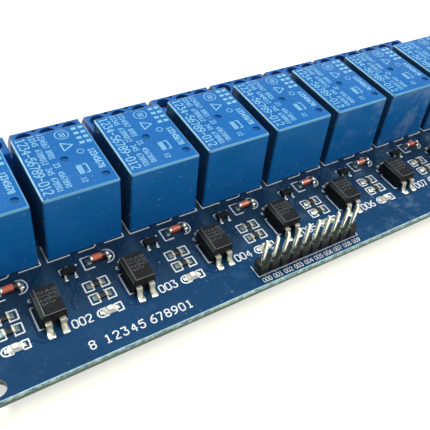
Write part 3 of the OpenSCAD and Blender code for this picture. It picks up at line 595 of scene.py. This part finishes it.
# ----------------------------------------------------------- terminal blocks
# Blue moulded blocks of three ways, keyed to each other. In each way a zinc
# plated screw closes a brass clamp on the wire, against a tinned contact.
block_finish, *_ = finish_named("terminal block blue", linear(28, 100, 170), 0.38, tone=0.2, grain=0.3,
                                dust=0.12, shine=0.2)
for k in range(1, channels + 1):
    softened(f"terminal_block_{k}", 0.14, block_finish, keep_short=1.0)
screw_finish, *_ = finish_named("zinc plated screw", linear(196, 198, 196), 0.32, metallic=1.0, tone=0.25,
                                tone_scale=700, grain=0.3)
softened("terminal_screws", 0.1, screw_finish)
dress("terminal_clamps", contact_brass)
dress("terminal_pins", tinned)

# ------------------------------------------------------------- optocouplers
# A black moulded package on four gull-wing leads stands before each relay. A
# bevel along one long edge and a round sink show which way round it goes.
compound, *_ = finish_named("moulding compound", linear(38, 40, 42), 0.4, tone=0.3, tone_scale=400,
                            grain=0.5, grain_scale=5000, dust=0.12, shine=0.05)
softened("optocouplers", 0.08, compound)
opto_low, opto_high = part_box("optocouplers")
edge_inset, opto_bevel = 0.2, 0.6
opto_front, opto_back = opto_low.y / MM + edge_inset, opto_high.y / MM - edge_inset
opto_lines = []
for x in relay_x:
    for column, text in ((4.5, "0123"), (5.75, "4567"), (6.9, "890")):
        opto_lines += number_strokes(text, (x + column, -11.6), 0.95, step=0.85, turn=-90, slim=0.75)
faint_ink, *_ = finish_named("faint grey ink", linear(78, 78, 76), 0.5)
# painted highlights: pale lines along each optocoupler's top edges and the edge of its bevel
edge_highlight_finish, *_ = finish_named("compound edge highlight", linear(122, 120, 114), 0.45, tone=0.8, tone_scale=1500)
for name, drop in (("optocoupler_top_edge_highlights", 0), ("optocoupler_bevel_edge_highlights", opto_bevel)):
    edges = []
    for x in relay_x:
        left, right = x + 4.11 - drop, x + 7.75
        path = [(left, opto_back), (left, opto_front), (right, opto_front)]
        edges.append((cornered(path if not drop else path[:2]), False))
    place_piece(name, stroke_mesh(name, edges, 0.13, opto_high.z - drop * MM, 0.3), edge_highlight_finish)
opto_print_mesh = stroke_mesh("optocoupler_print", opto_lines, 0.15, opto_high.z, 0.08)
place_piece("optocoupler_print", opto_print_mesh, faint_ink)
cream_tin, *_ = finish_named("dull tinned lead", linear(222, 214, 192), 0.36, metallic=0.55, tone=0.4,
                             tone_scale=900)
softened("optocoupler_leads", 0.05, cream_tin, keep_short=0.2)

# -------------------------------------------------------------- small parts
# Transistors in small black packages, glass diodes, chip resistors and a white
# chip lamp are soldered on the board in front of each relay.
diode_x, diode_y = 1.1, -6.35
band_shift, band_width = 0.95, 0.75
softened("transistors", 0.05, compound)
softened("transistor_leads", 0.03, tinned, keep_short=0.15)
glass_finish, *_ = finish_named("diode glass", linear(226, 106, 76), 0.16, tone=0.5, tone_scale=1500,
                                coat=0.6)
softened("diodes", 0, glass_finish)
band_finish, *_ = finish_named("diode band black", linear(24, 20, 20), 0.3, coat=0.3)
diode_low, diode_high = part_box("diodes")
diode_z = (diode_low.z + diode_high.z) / 2
band_radius = (diode_high.z - diode_low.z) / 2 + 0.02 * MM
bands = bmesh.new()
for x in relay_x:
    middle = Matrix.Translation(((x + diode_x + band_shift) * MM, diode_y * MM, diode_z))
    lying = middle @ Matrix.Rotation(math.pi / 2, 4, "Y")
    bmesh.ops.create_cone(bands, cap_ends=True, segments=32, radius1=band_radius, radius2=band_radius,
                          depth=band_width * MM, matrix=lying)
smooth_by_angle(bands)
band_mesh = bpy.data.meshes.new("diode_bands")
bands.to_mesh(band_mesh)
bands.free()
place_piece("diode_bands", band_mesh, band_finish)
softened("diode_caps", 0.08, tinned, keep_short=0.1)
resistor_finish, *_ = finish_named("resistor film", linear(26, 26, 28), 0.35, coat=0.3)
softened("resistors", 0.04, resistor_finish)
softened("resistor_caps", 0.05, cream_tin, keep_short=0.1)
lamp_finish, *_ = finish_named("lamp body white", linear(250, 250, 244), 0.4, tone=0.05)
softened("leds", 0.04, lamp_finish)
softened("led_caps", 0.04, cream_tin, keep_short=0.1)

# --------------------------------------------------------------- pin headers
# Square tinned pins stand in black carriers that are scored between the
# pins. A jumper cap bridges two of the three supply pins.
carrier_finish, *_ = finish_named("header carrier black", linear(24, 26, 27), 0.36, grain=0.4, shine=0.25)
pin_finish, *_ = finish_named("header pin", linear(232, 230, 218), 0.24, metallic=1.0, tone=0.2,
                              tone_scale=900)
for node in ("header_carrier", "supply_carrier"):
    softened(node, 0.09, carrier_finish, segments=1)
softened("jumper_cap", 0.1, carrier_finish)
for node in ("header_pins", "supply_pins"):
    softened(node, 0.04, pin_finish, keep_short=0.2)
dress("jumper_contact", contact_brass)

# ------------------------------------------------------------- solder joints
# Under the board every pin ends in a cone of solder. On top, a fillet of
# solder wets each foot of the small parts.
solder_finish, *_ = finish_named("solder", linear(232, 230, 222), 0.32, metallic=1.0, tone=0.5,
                                 tone_scale=2500, grain=0.5, grain_scale=5000)
softened("solder_joints", 0, solder_finish)


def solder_bed(shape, x, y, length, width, height, crown=0.55):
    """A pad of solder that rises with sloping sides to a foot or a cap, in mm."""
    made = bmesh.ops.create_cube(shape, size=1)["verts"]
    for vert in made:
        if vert.co.z > 0:
            vert.co.x *= crown
            vert.co.y *= crown + 0.15
    edges = list(dict.fromkeys(edge for vert in made for edge in vert.link_edges))
    middle = Matrix.Translation((x * MM, y * MM, board_top + height / 2 * MM))
    size = Matrix.Diagonal((length * MM, width * MM, height * MM, 1))
    bmesh.ops.transform(shape, verts=made, matrix=middle @ size)
    bmesh.ops.bevel(shape, geom=edges, offset=min(length, width) * 0.16 * MM, offset_type="OFFSET",
                    affect="EDGES", segments=2, profile=0.5, material=-1, clamp_overlap=True)


def place_beds(name, spots, finish):
    """One piece of solder beds, each given as x, y, length, width and height in mm."""
    beds = bmesh.new()
    for spot in spots:
        solder_bed(beds, *spot)
    smooth_by_angle(beds, 50)
    bed_mesh = bpy.data.meshes.new(name)
    beds.to_mesh(bed_mesh)
    beds.free()
    place_piece(name, bed_mesh, finish)


opto_x, transistor_x, chip_x = 5.66, -5.2, -1.7
resistor_rows, lamp_y = (-11.75, -14.7), -18.2
bright_beds, dull_beds = [], []
for x in relay_x:
    for side in (-1.27, 1.27):
        bright_beds.append((x + opto_x + side, -18.75, 1.5, 1.5, 0.34))
        dull_beds.append((x + opto_x + side, -9.1, 1.0, 0.7, 0.14))
    for side in (-0.95, 0.95):
        bright_beds.append((x + transistor_x + side, -8.55, 0.75, 0.8, 0.16))
    dull_beds.append((x + transistor_x, -5.85, 0.85, 1.0, 0.2))
    for y in resistor_rows:
        (bright_beds if x > 0 else dull_beds).append((x + chip_x - 1.3, y, 1.2, 1.35, 0.2))
        dull_beds.append((x + chip_x + 1.3, y, 1.1, 1.35, 0.2))
    for side in (-1.5, 1.5):
        bright_beds.append((x + chip_x + side, lamp_y, 0.8, 0.9, 0.16))
    dull_beds.append((x + diode_x - 2.05, diode_y, 1.1, 1.6, 0.36))
    bright_beds.append((x + diode_x + 2.05, diode_y, 1.1, 1.6, 0.36))
dull_solder, *_ = finish_named("dull solder", linear(128, 138, 134), 0.5, metallic=0.8, tone=0.9,
                               tone_scale=2200, grain=0.9, grain_scale=4500)
place_beds("bright_beds", bright_beds, solder_finish)
place_beds("dull_beds", dull_beds, dull_solder)

# -------------------------------------------------------- floor, light, view
# A plain white floor and a plain sky stand for the studio. They show white to
# the camera and in reflections, and light the board only softly.
def white_to_camera(tree, strength):
    """A plain white glow of this strength, for what a camera, mirror or glass ray sees."""
    rays = tree.nodes.new("ShaderNodeLightPath").outputs
    mirrored = math_of(tree, "MAXIMUM", rays["Is Camera Ray"], rays["Is Glossy Ray"])
    seen = math_of(tree, "MAXIMUM", mirrored, rays["Is Transmission Ray"])
    return math_of(tree, "MULTIPLY", seen, strength)


floor_reach, floor_glow, sky_glow, sky_shade = 6, 0.58, 0.88, 0.12
floor_shape = bmesh.new()
bmesh.ops.create_grid(floor_shape, x_segments=1, y_segments=1, size=floor_reach)
floor_mesh = bpy.data.meshes.new("floor")
floor_shape.to_mesh(floor_mesh)
floor_shape.free()
floor = bpy.data.objects.new("floor", floor_mesh)
bpy.context.scene.collection.objects.link(floor)
floor_finish = bpy.data.materials.new("floor white")
floor_finish.use_nodes = True
floor_shader = floor_finish.node_tree.nodes["Principled BSDF"]
floor_shader.inputs["Base Color"].default_value = (0.80, 0.79, 0.58, 1)
floor_shader.inputs["Roughness"].default_value = 0.9
floor_shader.inputs["Specular IOR Level"].default_value = 0
floor_shader.inputs["Emission Color"].default_value = (1, 1, 1, 1)
floor_tree = floor_finish.node_tree
feed(floor_tree, floor_shader.inputs["Emission Strength"], white_to_camera(floor_tree, floor_glow))
floor_mesh.materials.append(floor_finish)

world = bpy.data.worlds.new("studio")
bpy.context.scene.world = world
world.use_nodes = True
sky = world.node_tree.nodes["Background"]
sky.inputs["Color"].default_value = (1, 1, 1, 1)
sky_light = math_of(world.node_tree, "ADD", white_to_camera(world.node_tree, sky_glow), sky_shade)
feed(world.node_tree, sky.inputs["Strength"], sky_light)


def soft_lamp(name, place, size, watts, use):
    """A square studio lamp that faces the board, and is used for its shade or its gloss alone."""
    cool, white = (0.7, 1, 0.96), (1, 1, 1)
    lamp = bpy.data.lights.new(name, "AREA")
    lamp.size = size
    lamp.energy = watts
    lamp.color = cool if use == "gloss" else white
    stand = bpy.data.objects.new(name, lamp)
    stand.location = place
    stand.rotation_euler = (-Vector(place)).to_track_quat("-Z", "Y").to_euler()
    stand.visible_diffuse = use == "shade"
    stand.visible_glossy = use == "gloss"
    bpy.context.scene.collection.objects.link(stand)


soft_lamp("overhead", (0.3, 0.05, 0.85), 0.5, 2.8, use="shade")
soft_lamp("key_back", (0.12, 0.55, 0.8), 0.45, 6.8, use="shade")
soft_lamp("front_fill", (0.35, -0.8, 0.5), 0.4, 3.4, use="shade")
soft_lamp("left_glint", (-0.62, 0.62, 0.48), 0.62, 42, use="gloss")
soft_lamp("front_glint", (0.52, -0.6, 0.6), 0.45, 5, use="gloss")

camera = bpy.data.cameras.new("camera")
camera.lens = 51.77
camera.sensor_width = 36
camera.shift_x, camera.shift_y = -0.0318, -0.1023
camera.clip_start = 0.005
camera_stand = bpy.data.objects.new("camera", camera)
camera_place = (-0.070529, -0.080033, 0.098245)
azimuth, elevation, roll = (math.radians(a) for a in (-37.82, 41.42, 9.14))
back = Vector((math.sin(azimuth) * math.cos(elevation), -math.cos(azimuth) * math.cos(elevation),
               math.sin(elevation)))
level_right = (-back).cross(Vector((0, 0, 1))).normalized()
level_up = level_right.cross(-back)
right = level_right * math.cos(roll) + level_up * math.sin(roll)
up = -level_right * math.sin(roll) + level_up * math.cos(roll)
turned = Matrix((right, up, back)).transposed()
camera_stand.matrix_world = Matrix.Translation(camera_place) @ turned.to_4x4()
bpy.context.scene.collection.objects.link(camera_stand)
bpy.context.scene.camera = camera_stand
bpy.context.scene.view_settings.view_transform = "Standard"
